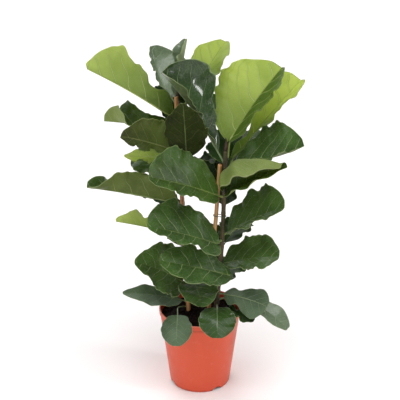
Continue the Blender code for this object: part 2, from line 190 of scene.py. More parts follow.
leaves = {
    # right stem, from its bud down
    "leaf_r01": leaf("right", 0.625, 35, 51, 0.208, 0.225, arch=-12, fold=(30, 16), share=(1.0, 0.64),
                     petiole=0.048, lift=77, form="wide", ears=(0.5, 0.7), wave=0.003),
    "leaf_r02": leaf("right", 0.612, 172, 64, 0.220, 0.19, arch=-20, roll=-15, fold=(45, 40), cup=(8, 40),
                     share=(0.5, 1.0), petiole=0.040, lift=50, leave=138, form="spoon"),
    "leaf_r03": leaf("right", 0.575, 28, 43, 0.243, 0.150, arch=-2, fold=(30, 20),
                     petiole=0.054, lift=57, leave=45, form="flared"),
    "leaf_r04": leaf("right", 0.578, -8, 5, 0.158, 0.20, arch=24, roll=28, fold=(10, 45),
                     share=(0.95, 0.30), ears=(0.3, 0.4), petiole=0.046, lift=48, leave=5, form="wide"),
    "leaf_r05": leaf("right", 0.532, -20, 36, 0.160, 0.175, arch=-14, roll=10, fold=(50, 10), cup=(195, 8),
                     share=(1.6, 0.9), petiole=0.012, lift=45, form="egg", calm=0.25),
    "leaf_r06": leaf("right", 0.523, -155, 28, 0.182, 0.175, roll=-50, fold=(20, 5), share=(0.42, 1.0),
                     ears=(0.95, 0.7), petiole=0.032, lift=28, leave=-135, form="lobed"),
    "leaf_r07": leaf("right", 0.423, -25, 40, 0.160, 0.165, arch=-17, roll=35, fold=(5, 30),
                     share=(1.0, 0.70), petiole=0.020, lift=40, form="wide"),
    "leaf_r08": leaf("right", 0.405, -157, 27, 0.190, 0.170, arch=-7, roll=-38, fold=(15, 5),
                     share=(0.45, 1.0), ears=(1.5, 0.8), petiole=0.030, lift=10, leave=-120, form="lobed"),
    "leaf_r09": leaf("right", 0.337, -12, 20, 0.133, 0.14, arch=-15, roll=25, fold=(5, 20),
                     share=(1.0, 0.9), petiole=0.012, form="wide", ears=(0.9, 0.4)),
    "leaf_r10": leaf("right", 0.255, -25, 5, 0.110, 0.09, arch=-20, fold=(15, -60), petiole=0.025, lift=15,
                     leave=-45, calm=0.2, wave=0.0015),
    "leaf_r11": leaf("right", 0.235, -24, 2, 0.168, 0.060, arch=-45, roll=20, petiole=0.030, lift=10,
                     leave=5, calm=0.2, wave=0.003),
    "leaf_r12": leaf("right", 0.223, -90, -5, 0.081, 0.096, arch=-60, petiole=0.065, lift=18, form="round",
                     calm=0.4, wave=0.003),
    "leaf_r13": leaf("right", 0.308, -160, 24, 0.190, 0.125, arch=-5, roll=-38, fold=(10, 10),
                     share=(0.9, 0.85), petiole=0.040, lift=25, leave=-62, form="broad", ears=(0.6, 0.0)),
    # left stem, from its bud down
    "leaf_l01": leaf("left", 0.745, 40, 75, 0.128, 0.055, arch=0, fold=(60, 60), petiole=0.022, lift=75,
                     leave=100),
    "leaf_l02": leaf("left", 0.740, 118, 20, 0.145, 0.11, arch=50, fold=(45, 10), share=(0.60, 1.4),
                     petiole=0.025, lift=40, leave=140, form="broad"),
    "leaf_l03": leaf("left", 0.728, 44, 48, 0.165, 0.185, arch=-8, fold=(20, 12), share=(0.60, 0.60),
                     petiole=0.038, lift=44, leave=26, form="wide", calm=0.5),
    "leaf_l04": leaf("left", 0.700, -155, 38, 0.235, 0.170, arch=-8, roll=40, fold=(70, 60),
                     share=(1.0, 0.95), petiole=0.030, lift=40),
    "leaf_l05": leaf("left", 0.662, 178, 12, 0.150, 0.105, roll=-25, tipRoll=80, fold=(25, 25),
                     cup=(40, 40), petiole=0.030),
    "leaf_l06": leaf("left", 0.620, -158, 26, 0.135, 0.13, roll=60, fold=(10, -15), share=(1.0, 0.35),
                     petiole=0.020, form="broad"),
    "leaf_l07": leaf("left", 0.600, -95, 66, 0.165, 0.105, arch=-5, fold=(10, 10), petiole=0.045, lift=38,
                     leave=-55, toward=-70, form="egg"),
    "leaf_l08": leaf("left", 0.545, 156, 24, 0.106, 0.11, arch=-5, roll=-30, petiole=0.025),
    "leaf_l09": leaf("left", 0.485, -165, 18, 0.220, 0.112, arch=-5, roll=60, tipRoll=-80, fold=(25, 25),
                     cup=(40, 40), petiole=0.020, lift=20, form="round"),
    "leaf_l10": leaf("left", 0.400, -160, 24, 0.150, 0.07, arch=-8, roll=30, fold=(50, 40), petiole=0.030,
                     lift=20),
    "leaf_l12": leaf("left", 0.270, -155, 42, 0.145, 0.15, arch=-20, roll=-45, petiole=0.015, form="egg"),
    "leaf_l13": leaf("left", 0.280, -78, 4, 0.105, 0.105, arch=-26, petiole=0.028, lift=5, leave=-58,
                     form="broad"),
    "leaf_l14": leaf("left", 0.215, -165, 22, 0.150, 0.10, arch=-14, roll=-15, share=(1.25, 0.6),
                     petiole=0.020, lift=20, form="lance", calm=0.2, wave=0.003),
    "leaf_l15": leaf("left", 0.201, -92, -15, 0.079, 0.080, arch=-45, petiole=0.108, lift=14, leave=-145,
                     toward=-101, form="round", calm=0.3, wave=0.003),
    # behind and between
    "leaf_b01": leaf("left", 0.648, 50, 15, 0.200, 0.14),
    "leaf_b02": leaf("left", 0.580, 95, 15, 0.200, 0.13),
    "leaf_b03": leaf("right", 0.550, 75, 20, 0.200, 0.14),
    "leaf_b04": leaf("left", 0.570, 14, 13, 0.088, 0.085),
    "leaf_b05": leaf("right", 0.478, 85, 20, 0.135, 0.11),
    "leaf_b06": leaf("left", 0.440, 125, 15, 0.150, 0.12, lift=20),
    "leaf_b07": leaf("right", 0.360, 115, 10, 0.110, 0.10, lift=20),
    "leaf_b08": leaf("left", 0.350, 105, 10, 0.160, 0.13, lift=20),
    "leaf_b09": leaf("left", 0.250, 90, 0, 0.150, 0.12, lift=20),
    "leaf_b10": leaf("right", 0.260, 70, 5, 0.130, 0.11, lift=20),
    "leaf_b11": leaf("right", 0.212, -35, -5, 0.075, 0.06, lift=10),
    "leaf_b12": leaf("right", 0.500, 110, 35, 0.130, 0.11, petiole=0.020, form="broad"),
    "leaf_b13": leaf("right", 0.385, 60, 15, 0.100, 0.09, petiole=0.020, lift=20, form="broad"),
    "leaf_b14": leaf("left", 0.672, 120, 46, 0.115, 0.11, arch=-10, share=(0.5, 1.0), petiole=0.020,
                     lift=30, form="broad"),
    "leaf_b15": leaf("left", 0.598, -174, 7, 0.112, 0.080, arch=-5, roll=55, share=(0.5, 0.9),
                     petiole=0.020, lift=20, form="broad"),
    "leaf_b16": leaf("right", 0.600, 104, 34, 0.066, 0.07, petiole=0.018, lift=20, form="broad"),
}

bladeForms = {  # where the blade is widest, how full it is, and the size and length of its ears
    "fiddle": (1.95, 0.66, 0.42, 0.12),
    "flared": (3.30, 0.55, 0.18, 0.11),
    "spoon": (2.20, 0.70, 0.14, 0.10),
    "wide": (1.30, 0.60, 0.30, 0.12),
    "lobed": (1.30, 0.60, 0.30, 0.17),
    "egg": (0.72, 0.80, 0.10, 0.08),
    "broad": (1.10, 0.60, 0.16, 0.09),
    "round": (1.10, 0.56, 0.12, 0.08),
    "lance": (0.95, 0.85, 0.10, 0.08),
}


def stemCentre(stem, height):
    points = np.array(stemPaths[stem])
    return np.array([np.interp(height, points[:, 2], points[:, axis]) for axis in range(3)])


def stemRadius(stem, height):
    low, high = stemPaths[stem][0][2], stemPaths[stem][-1][2]
    return stemForm["radius"][stem] * (1 - stemForm["taper"] * (height - low) / (high - low))


def halfWidth(t, spec, v):
    # the width to one side: the blade's own curve, and an ear by the petiole
    widest, fullness, ear, earLength = bladeForms[spec["form"]]
    blade = np.sin(np.pi * t**widest) ** fullness * np.where(v > 0, *spec["share"])
    lobe = ear * np.exp(-(((t - leafForm["earPlace"]) / earLength) ** 2)) * np.where(v > 0, *spec["ears"])
    corner = np.clip(t / leafForm["cornerLength"], 0, 1)
    return (blade + lobe) * np.sqrt(1 - (1 - corner) ** 2)


def eased(t, start, end=1.0):
    x = np.clip((t - start) / (end - start), 0, 1)
    return x * x * (3 - 2 * x)


def directions(spec, t):
    # the midrib's forward, up and side vectors at t
    heading = math.radians(spec["heading"])
    rise = np.radians(spec["rise"] + spec["arch"] * t)
    roll = np.radians(spec["roll"] + spec["tipRoll"] * eased(t, 0.55))[..., None]
    along = np.array([math.cos(heading), math.sin(heading), 0.0])
    level = np.array([-math.sin(heading), math.cos(heading), 0.0])
    top = np.array([0.0, 0.0, 1.0])
    forward = np.cos(rise)[..., None] * along + np.sin(rise)[..., None] * top
    up = np.cos(rise)[..., None] * top - np.sin(rise)[..., None] * along
    return forward, np.cos(roll) * up - np.sin(roll) * level, np.cos(roll) * level + np.sin(roll) * up


def petioleEnds(spec):
    # where the petiole leaves the stem, its direction there, and where the blade starts
    leave, lift = math.radians(spec["leave"]), math.radians(spec["lift"])
    flat = np.array([math.cos(leave), math.sin(leave), 0.0])
    out = math.cos(lift) * flat + math.sin(lift) * np.array([0.0, 0.0, 1.0])
    foot = leafForm["petioleWidth"] / 2 * math.sin(abs(lift)) + leafForm["petioleGap"]
    centre, radius = stemCentre(spec["stem"], spec["height"]), stemRadius(spec["stem"], spec["height"])
    start = centre + flat * (radius + foot)
    toward = math.radians(spec["toward"])
    reach = math.cos(lift) * np.array([math.cos(toward), math.sin(toward), math.tan(lift)])
    return start, out, start + reach * spec["petiole"]


def midrib(spec, t):
    # points on the midrib at t, and straight back from its start where t is below 0
    steps = np.linspace(0, 1, 49)
    forward = directions(spec, (steps[1:] + steps[:-1]) / 2)[0]
    run = np.vstack([np.zeros(3), np.cumsum(forward * spec["length"] / 48, axis=0)])
    inside = np.stack([np.interp(t, steps, run[:, axis]) for axis in range(3)], -1)
    first = directions(spec, np.zeros(1))[0][0]
    return petioleEnds(spec)[2] + inside + np.minimum(t, 0)[..., None] * first * spec["length"]


def bladeReach(spec, t, v):
    # the blade's width to one side at t
    reach = halfWidth(t, spec, v) * spec["width"] / 2
    return np.maximum(reach, np.where(t > 0.5, leafForm["tipWidth"], leafForm["petioleWidth"]) / 2)


def sweptBack(t, v):
    return t - leafForm["sweptBase"] * (1 - t) ** 4 * v**2 + leafForm["sweptTip"] * t**6 * v**2


def bladePoints(spec, t, v):
    # blade points at t along the midrib and v from -1 to 1 across it
    across = np.abs(v)
    swept = sweptBack(t, v)
    up, side = directions(spec, swept)[1:]
    reach = bladeReach(spec, t, v)
    fold = np.radians(np.where(v > 0, *spec["fold"]))
    cup = np.radians(np.maximum(np.where(v > 0, *spec["cup"]), 1))
    bend = np.minimum(cup, reach / leafForm["curlRadius"])
    out = reach * (np.sin(fold + bend * across) - np.sin(fold)) / bend
    rise = reach * (np.cos(fold) - np.cos(fold + bend * across)) / bend
    turns = leafForm["marginWaves"] * t + np.where(v > 0, 0.0, leafForm["marginShift"])
    rise = rise + spec["wave"] * across**2 * np.sin(2 * np.pi * turns) * np.sin(np.pi * t)
    return midrib(spec, swept) + side * (np.sign(v) * out)[..., None] + up * rise[..., None]


def veinPhase(spec, t, v):
    # whole numbers are side veins, which lean to the tip and loop into the next one near the margin
    away = bladeReach(spec, t, v) * np.abs(v) / spec["length"]
    along = sweptBack(t, v) - leafForm["veinLean"] * away - leafForm["veinBend"] * away**2
    return along / leafForm["veinSpacing"] - eased(np.abs(v), 0.72) ** 1.5


def petiolePoints(spec, s):
    # a smooth curve from the stem to the blade
    start, out, end = petioleEnds(spec)
    forward = directions(spec, np.zeros(1))[0][0]
    s = s[..., None]
    centre = (2 * s**3 - 3 * s**2 + 1) * start + (3 * s**2 - 2 * s**3) * end
    return centre + spec["petiole"] * ((s**3 - 2 * s**2 + s) * out + (s**3 - s**2) * forward)


def wave(turns):
    return np.sin(2 * np.pi * turns)


def makeBlade(name, spec, materials):
    form = leafForm
    rows, columns = form["rows"], form["columns"]
    bm = bmesh.new()
    bmesh.ops.create_grid(bm, x_segments=rows, y_segments=columns, size=1)
    place = np.array([vert.co[:] for vert in bm.verts])
    row = np.rint((place[:, 0] + 1) / 2 * rows).astype(int)
    column = np.rint((place[:, 1] + 1) / 2 * columns).astype(int)
    u = np.linspace(0, 1, rows + 1)
    u = 0.6 * u + 0.2 * (1 - np.cos(np.pi * u))  # closer rows at both ends
    t, v = np.meshgrid(u, np.linspace(-1, 1, columns + 1), indexing="ij")
    across, arc = np.abs(v), np.sin(np.pi * t)
    seed = 7.0 * spec["height"]  # no two leaves wave alike
    slow, fast = form["lobeTurns"]
    swing = wave(slow * t + seed + 0.4 * np.sign(v)) + 0.5 * wave(fast * t + 2 * seed)
    points = bladePoints(spec, t, v * (1 + form["lobes"] * spec["calm"] * swing * across**3 * arc))
    normal = np.cross(np.gradient(points, axis=0), np.gradient(points, axis=1))
    normal /= np.maximum(np.linalg.norm(normal, axis=-1, keepdims=True), 1e-9)
    # bulges between the side veins, which stand half a step apart on the two sides
    phase = veinPhase(spec, t, v) + np.where(v > 0, 0.5, 0.0)
    bulge = np.abs(np.sin(np.pi * phase)) ** 0.8 * np.minimum(across * 5, 1) * (1 - eased(across, 0.8))
    bulge = bulge * eased(t, 0.0, 0.12) * (1 - eased(t, 0.85))
    bulge = bulge * np.minimum(bladeReach(spec, t, v) / form["puckerWidth"], 1)
    # the small waves of the margin, and slow ones over all of the blade
    first, second = form["rippleTurns"]
    edge = wave(first * t + seed + 0.3 * v) + 0.6 * wave(second * t + 3 * seed - 0.2 * v)
    sway = 1.7 * np.sin(2.4 * v + 5 * seed)
    swell = np.sin(2 * np.pi * (form["swellTurns"] * t + seed) + sway) * eased(across, 0.0, 0.5)
    lift = form["pucker"] * bulge + form["ripple"] * edge * across**4 * arc
    lift = lift + form["swell"] * swell * arc**0.5
    lift = lift * spec["calm"] * min(spec["length"] / form["roughLength"], 1)
    points = points + normal * lift[..., None]
    for vert, i, j in zip(bm.verts, row, column):
        vert.co = points[i, j]
    mesh = meshFrom(bm, name)
    shadeSmooth(mesh)

    # UV map "veins": the vein phase and the place across; UV map "blade": the place along and across
    corner = np.empty(len(mesh.loops), int)
    mesh.loops.foreach_get("vertex_index", corner)
    faceSize = np.empty(len(mesh.polygons), int)
    mesh.polygons.foreach_get("loop_total", faceSize)
    face = np.repeat(np.arange(len(faceSize)), faceSize)
    cell = row[corner], column[corner]
    side = np.sign(np.bincount(face, v[cell])[face])
    left, right = veinPhase(spec, t, v + 1e-6)[cell] + 0.5, veinPhase(spec, t, v - 1e-6)[cell]
    veins = np.stack([np.where(side > 0, left, right), across[cell]], -1)
    blade = np.stack([t[cell], (v * bladeReach(spec, t, v))[cell] / spec["length"]], -1)
    for title, values in (("veins", veins), ("blade", blade)):
        mesh.uv_layers.new(name=title).data.foreach_set("uv", values.ravel())

    obj = makePiece(name + "_blade", mesh, materials, name)
    solid = obj.modifiers.new("Thickness", "SOLIDIFY")
    solid.thickness = form["thickness"]
    solid.offset = -1
    solid.material_offset = 1
    solid.material_offset_rim = 2


ribForm = {
    "smallest": 0.55, "fullLength": 0.4,  # short leaves have thin stalks
    "footDepth": 0.002, "footRadius": 0.0026,
    "stalkPlaces": (0, 0.12, 0.5, 1), "stalkRadii": (0.0029, 0.0023, 0.0020, 0.0021),
    "midribRadius": 0.0017, "midribEnd": 0.97, "tipRadius": 0.0003,
    "sunk": 0.0002,  # the midrib stands out below the blade
}


def makeRib(name, spec, material):
    # the petiole, which runs on as the blade's midrib
    form = ribForm
    size = min(1.0, form["smallest"] + spec["length"] / form["fullLength"])
    start, out = petioleEnds(spec)[:2]
    foot = start - out * (0.5 * stemRadius(spec["stem"], spec["height"]) + form["footDepth"])
    s = np.linspace(0, 1, 12)
    stalk = size * np.interp(s, form["stalkPlaces"], form["stalkRadii"])
    t = np.linspace(0, form["midribEnd"], 40)[1:]
    thick = size * (form["midribRadius"] * (1 - t) ** 0.8 + form["tipRadius"])
    along = midrib(spec, t) - directions(spec, t)[1] * (thick * 0.55 + form["sunk"])[:, None]
    points = np.vstack([foot, petiolePoints(spec, s), along])
    radii = np.concatenate([[form["footRadius"] * size], stalk, thick])
    makePiece(name + "_rib", tubeMesh(name + "_rib", points, radii, 3), [material])


def leafLook(upper, under, **more):
    # one kind of leaf; its colours above and below are the blade's, a darker one for patches and for painted
    # shade beside a vein, and the vein's; its two roughnesses are above and below too
    look = {
        "upper": upper, "under": under, "roughness": (0.30, 0.48), "coat": 0.0, "specular": 0.35,
        # turned is how much painted shade darkens the half of a folded blade that turns from the light
        "through": 0.06, "light": "#A8B440", "veinWidth": 0.028, "youth": 0.0, "turned": 0.0,
    }
    look.update(more)
    return look


leafLooks = {
    # grown leaves: green with a soft shine and pale veins
    "mature": leafLook(("#456631", "#304C24", "#B8C88E"), ("#6C7B42", "#525F30", "#98A268"),
                       roughness=(0.24, 0.50), specular=0.22, through=0.16, light="#C8D850",
                       veinWidth=0.030),
    # the newest leaves are thin and let the light through as lime, and are darker green towards the petiole
    "young": leafLook(("#A8BC6A", "#94AA5A", "#DCE6AE"), ("#BEC88A", "#AAB678", "#D8DEAC"),
                      through=0.62, light="#EFF9A0", veinWidth=0.030, youth=0.85),
    # the large young leaf at the top is folded along its midrib, with painted shade on the half that turns
    # from the light
    "folded": leafLook(("#BACE6C", "#A8C05C", "#E2EAB0"), ("#B2BC7C", "#A0AC6C", "#D2D8A4"),
                       through=0.55, light="#F2FBA0", veinWidth=0.032, youth=0.62, turned=0.95),
    # a half-grown leaf: dark above already, its back still pale
    "fresh": leafLook(("#3E5C2C", "#2A421E", "#A6BA78"), ("#8E9E58", "#7C8C48", "#B8C28A"),
                      roughness=(0.24, 0.48), specular=0.30, through=0.22, light="#C8D850", veinWidth=0.026,
                      youth=0.35),
    # wet-looking leaves straight under the light
    "glossy": leafLook(("#2E4A1C", "#1E3611", "#8CA26C"), ("#60704A", "#485836", "#8E9A76"),
                       roughness=(0.16, 0.36), coat=0.7, specular=0.20, light="#B5C84A", veinWidth=0.026),
    # leaves that tilt their wax to the light shine silver; their pale grey colour is painted sheen over a
    # real gloss
    "painted_sheen": leafLook(("#74866A", "#5C7052", "#A8B69A"), ("#9AA688", "#86946F", "#B0BA9E"),
                        roughness=(0.26, 0.40), coat=0.4, specular=0.50, through=0.10, light="#C4D07C"),
    # leaves inside the crown, darkened to a deep green with painted shade
    "shade_darkened": leafLook(("#29451B", "#1C3212", "#5E7440"), ("#2A3411", "#1D250B", "#6E7840"),
                     roughness=(0.40, 0.55), specular=0.10, veinWidth=0.020),
    # backs that hang in the shade of the crown
    "shaded": leafLook(("#33482A", "#22341C", "#74884E"), ("#505A26", "#343C18", "#8A9050"),
                       roughness=(0.32, 0.50), specular=0.25, through=0.10, veinWidth=0.024, youth=0.3),
    # the oldest leaves by the soil are dustier and greyer
    "old": leafLook(("#566B4E", "#3E5238", "#93A584"), ("#76845E", "#5F6E4B", "#9BA883"),
                    roughness=(0.38, 0.55), through=0.08, light="#A8C060"),
}
leafKinds = {
    "leaf_r01": "folded", "leaf_r03": "young", "leaf_l03": "young", "leaf_l04": "young", "leaf_l10": "young",
    "leaf_b15": "young", "leaf_r05": "fresh", "leaf_r06": "fresh", "leaf_l05": "fresh", "leaf_r02": "glossy",
    "leaf_r12": "glossy", "leaf_l01": "painted_sheen", "leaf_l02": "painted_sheen", "leaf_r11": "painted_sheen",
    "leaf_l15": "old", "leaf_r10": "old", "leaf_l14": "old", "leaf_l06": "shaded", "leaf_l07": "shade_darkened",
    # the leaves behind, like l07, are darkened with painted shade
    **{name: "shade_darkened" for name in leaves if name.startswith("leaf_b") and name != "leaf_b15"},
}


leafPattern = {
    "veinWander": 0.16,  # in vein spacings, so no two gaps are the same
    "wanderSize": 41.7, "cloudSize": 62.5, "speckleSize": 2.38, "waxSize": 18.2,  # in millimetres
    "netCells": 26.0,  # along a blade, so cells of about 6 mm
    # painted shade in the crease beside a vein: its width in vein spacings, its strength, and the extra on
    # young blades
    "creaseShadeWidth": 0.11, "creaseShade": 0.40, "youngCreaseShade": 0.12,
    "darkGreenAndShade": "#587A22", "greenReach": (0.60, 1.05),  # young blades are darker green towards the petiole, also the colour of painted shade on a turned half
    "veinDepth": (-0.6, 1.0), "netDepth": (-1.2, 2.0),  # sunken above, standing out below
    "relief": 0.0007,
}


def leafMaterial(kind, side):
    # a living leaf: a waxy skin over green tissue with a net of paler veins, thin enough to glow a little
    form = leafPattern
    look, face = leafLooks[kind], ("upper", "under").index(side)
    base, dark, veinColour = look[side]
    roughness = look["roughness"][face]
    material, tree, shader, place = newMaterial(f"leaf_{kind}_{side}", roughness, ior=1.45)
    shader.inputs["Specular IOR Level"].default_value = look["specular"]
    shader.inputs["Coat Weight"].default_value = look["coat"]
    shader.inputs["Coat Roughness"].default_value = 0.10
    veinMap = addNode(tree, "UVMap", uv_map="veins")
    bladeMap = addNode(tree, "UVMap", uv_map="blade")
    across = addNode(tree, "SeparateXYZ", {0: veinMap}, 1)
    # the side veins wander by a few millimetres
    size, most = perMetre(form["wanderSize"]), form["veinWander"]
    wander = addNode(tree, "TexNoise", {"Vector": place, "Scale": size, "Detail": 1.0})
    shift = addNode(tree, "MapRange", {0: wander, 1: 0.25, 2: 0.75, 3: -most, 4: most})
    phase = addNode(tree, "SeparateXYZ", {0: veinMap})
    phase = addNode(tree, "Math", {0: phase, 1: shift}, operation="ADD")
    away = addNode(tree, "Math", {0: phase, 1: 0.5}, operation="PINGPONG")
    width = addNode(tree, "MapRange", {0: across, 3: look["veinWidth"], 4: look["veinWidth"] * 0.5})
    line = addNode(tree, "MapRange", {0: away, 2: width, 3: 1.0, 4: 0.0}, **smoothly)
    # painted shade darkens the crease beside each vein, more on young blades
    creaseShadeStrength = form["creaseShade"] + form["youngCreaseShade"] * look["youth"]
    creaseShade = addNode(tree, "MapRange", {0: away, 2: form["creaseShadeWidth"], 3: creaseShadeStrength, 4: 0.0}, **smoothly)
    # the fine net between side veins
    many = form["netCells"]
    cells = addNode(tree, "VectorMath", {0: bladeMap, 1: (many, many, 1.0)}, operation="MULTIPLY")
    wobble = addNode(tree, "TexNoise", {"Vector": cells, "Scale": 1.5, "Detail": 1.0}, 1)
    cells = addNode(tree, "VectorMath", {0: cells, 1: wobble}, operation="ADD")
    border = addNode(tree, "TexVoronoi", {"Vector": cells, "Scale": 1.0}, feature="DISTANCE_TO_EDGE")
    net = addNode(tree, "MapRange", {0: border, 2: 0.09, 3: 0.16, 4: 0.0}, **smoothly)
    size = perMetre(form["cloudSize"])
    clouds = addNode(tree, "TexNoise", {"Vector": place, "Scale": size, "Detail": 3.0})
    patches = addNode(tree, "MapRange", {0: clouds, 1: 0.35, 2: 0.68}, **smoothly)
    edge = addNode(tree, "MapRange", {0: across, 1: 0.965, 2: 0.995, 4: 0.55}, **smoothly)
    veined = addNode(tree, "Math", {0: line, 1: 0.95}, operation="MULTIPLY")
    # a young blade is darker green towards its petiole, and painted shade gives the half of a folded leaf
    # that turns from the light the same darker green
    along = addNode(tree, "SeparateXYZ", {0: bladeMap})
    green = addNode(tree, "MapRange", {0: along, 2: form["greenReach"][face], 3: look["youth"], 4: 0.0})
    turned = addNode(tree, "SeparateXYZ", {0: bladeMap}, 1)
    turned = addNode(tree, "MapRange", {0: turned, 1: -0.02, 2: 0.0, 3: look["turned"], 4: 0.0})
    green = addNode(tree, "Math", {0: green, 1: turned}, operation="MAXIMUM")
    # over the blade: patches, petiole green with a painted-shade half, painted shade by the veins, then net,
    # veins, margin
    masks, shade = (patches, green, creaseShade, net, veined, edge), base
    for mask, colour in zip(masks, (dark, form["darkGreenAndShade"], dark, veinColour, veinColour, veinColour)):
        shade = addNode(tree, "Mix", {0: mask, 6: shade, 7: colour}, 2, data_type="RGBA")
    # the skin's own grain, and the veins over it
    size = perMetre(form["speckleSize"])
    relief = addNode(tree, "TexNoise", {"Vector": place, "Scale": size, "Detail": 1.0})
    for lines, depths in ((line, form["veinDepth"]), (net, form["netDepth"])):
        relief = addNode(tree, "Math", {0: lines, 1: depths[face], 2: relief}, operation="MULTIPLY_ADD")
    bump = addNode(tree, "Bump", {"Height": relief, "Distance": form["relief"], "Strength": 0.6})
    wax = addNode(tree, "TexNoise", {"Vector": place, "Scale": perMetre(form["waxSize"]), "Detail": 2.0})
    uneven = addNode(tree, "MapRange", {0: wax, 1: 0.3, 2: 0.7, 3: roughness - 0.05, 4: roughness + 0.08})
    feed(tree, shader, Base_Color=shade, Normal=bump, Roughness=uneven)
    # the light that comes through is darker towards the petiole, and painted shade darkens it on a turned
    # half and beside the veins
    cloudy = addNode(tree, "Math", {0: patches, 1: 0.3}, operation="MULTIPLY")
    masks, glow = (cloudy, green, creaseShade, veined), look["light"]
    for mask, colour in zip(masks, ("#BFD058", "#6E8E22", "#9CB246", "#F0F6B8")):
        glow = addNode(tree, "Mix", {0: mask, 6: glow, 7: colour}, 2, data_type="RGBA")
    thin = addNode(tree, "BsdfTranslucent", {"Color": glow, "Normal": bump})
    mixed = addNode(tree, "MixShader", {0: look["through"], 1: shader.outputs[0], 2: thin})
    tree.links.new(mixed, tree.nodes["Material Output"].inputs["Surface"])
    return material


def stalkMaterial(name, colours, roughness, patch=33.3):
    # living stalk tissue: smooth, a little waxy, finely ribbed, mottled in patches of this many millimetres
    material, tree, shader, place = newMaterial(name, roughness, ior=1.45)
    clouds = addNode(tree, "TexNoise", {"Vector": place, "Scale": perMetre(patch), "Detail": 3.0})
    patches = addNode(tree, "MapRange", {0: clouds, 1: 0.35, 2: 0.65}, **smoothly)
    shade = addNode(tree, "Mix", {0: patches, 6: colours[0], 7: colours[1]}, 2, data_type="RGBA")
    drawn = addNode(tree, "Mapping", {"Vector": place, "Scale": (1.0, 1.0, 0.2)})
    fibre = addNode(tree, "TexNoise", {"Vector": drawn, "Scale": perMetre(3.85), "Detail": 2.0})
    bump = addNode(tree, "Bump", {"Height": fibre, "Distance": 0.0004, "Strength": 0.5})
    feed(tree, shader, Base_Color=shade, Normal=bump)
    return material


# a thin rim, pale on grown leaves and dark on the thin young ones
paleMargin = stalkMaterial("leaf_margin_pale_green", ("#9DAC70", "#7E9152"), 0.45, 25.0)
darkMargin = stalkMaterial("leaf_margin_dark_olive", ("#5E6C30", "#465424"), 0.45, 25.0)
stalkLooks = {
    "mature": ("petiole_yellow_green", ("#7F9050", "#657A3C"), 0.42),
    "fresh": ("petiole_bright_green", ("#8A9A54", "#708440"), 0.42),
    "painted_sheen": ("petiole_silver_green", ("#90A07A", "#788A62"), 0.38),
    "folded": ("petiole_pale_lime", ("#A8B468", "#8E9F50"), 0.40),
    "young": ("petiole_lime", ("#A0AE5E", "#86994A"), 0.40),
    "glossy": ("petiole_grey_green", ("#84936A", "#6C7F56"), 0.36),
    "shade_darkened": ("petiole_deep_green", ("#5C6A36", "#454F28"), 0.42),
    "shaded": ("petiole_olive", ("#7C8448", "#5E6834"), 0.42),
    "old": ("petiole_dull_green", ("#86966C", "#6E8057"), 0.50),
}
ribMaterials = {kind: stalkMaterial(*look) for kind, look in stalkLooks.items()}
leafMaterials = {kind: [leafMaterial(kind, side) for side in ("upper", "under")] for kind in leafLooks}
# each leaf takes its kind's skins and rib; the young kinds take the dark margin
for name, spec in leaves.items():
    kind = leafKinds.get(name, "mature")
    margin = darkMargin if kind in ("young", "folded") else paleMargin
    makeBlade(name, spec, leafMaterials[kind] + [margin])
    makeRib(name, spec, ribMaterials[kind])
print(len(leaves), "leaves grown")


potForm = {
    "topRadius": 0.105, "height": 0.208, "baseRadius": 0.0775, "wall": 0.0024, "floor": 0.003,
    "rimBand": 0.012, "rimStep": 0.0025, "lipRadius": 0.0011, "bandCorner": 0.0008, "footCorner": 0.002,
    "steps": 160, "smoothAngle": 35,
    "notchHeadings": (90, 205, 304, 357), "notchWidth": 0.026, "notchHeight": 0.009, "notchDepth": 0.010,
}


def potRadius(height):
    # the tapered wall's outside, up to the rim band
    share = height / (potForm["height"] - potForm["rimBand"])
    widening = potForm["topRadius"] - potForm["rimStep"] - potForm["baseRadius"]
    return potForm["baseRadius"] + widening * share


def spunMesh(name, profile, steps):
    # a profile of (radius, height) points turned about Z
    bm = bmesh.new()
    verts = [bm.verts.new((radius, 0, height)) for radius, height in profile]
    edges = [bm.edges.new(pair) for pair in zip(verts, verts[1:])]
    bmesh.ops.spin(bm, geom=verts + edges, cent=(0, 0, 0), axis=(0, 0, 1), angle=2 * math.pi, steps=steps,
                   use_merge=True)
    bmesh.ops.remove_doubles(bm, verts=bm.verts, dist=0.00002)
    bmesh.ops.recalc_face_normals(bm, faces=bm.faces)
    return meshFrom(bm, name)


def roundedCorner(centre, radius, start, end, steps=4):
    turns = [math.radians(start + (end - start) * i / steps) for i in range(steps + 1)]
    return [(centre[0] + radius * math.cos(turn), centre[1] + radius * math.sin(turn)) for turn in turns]


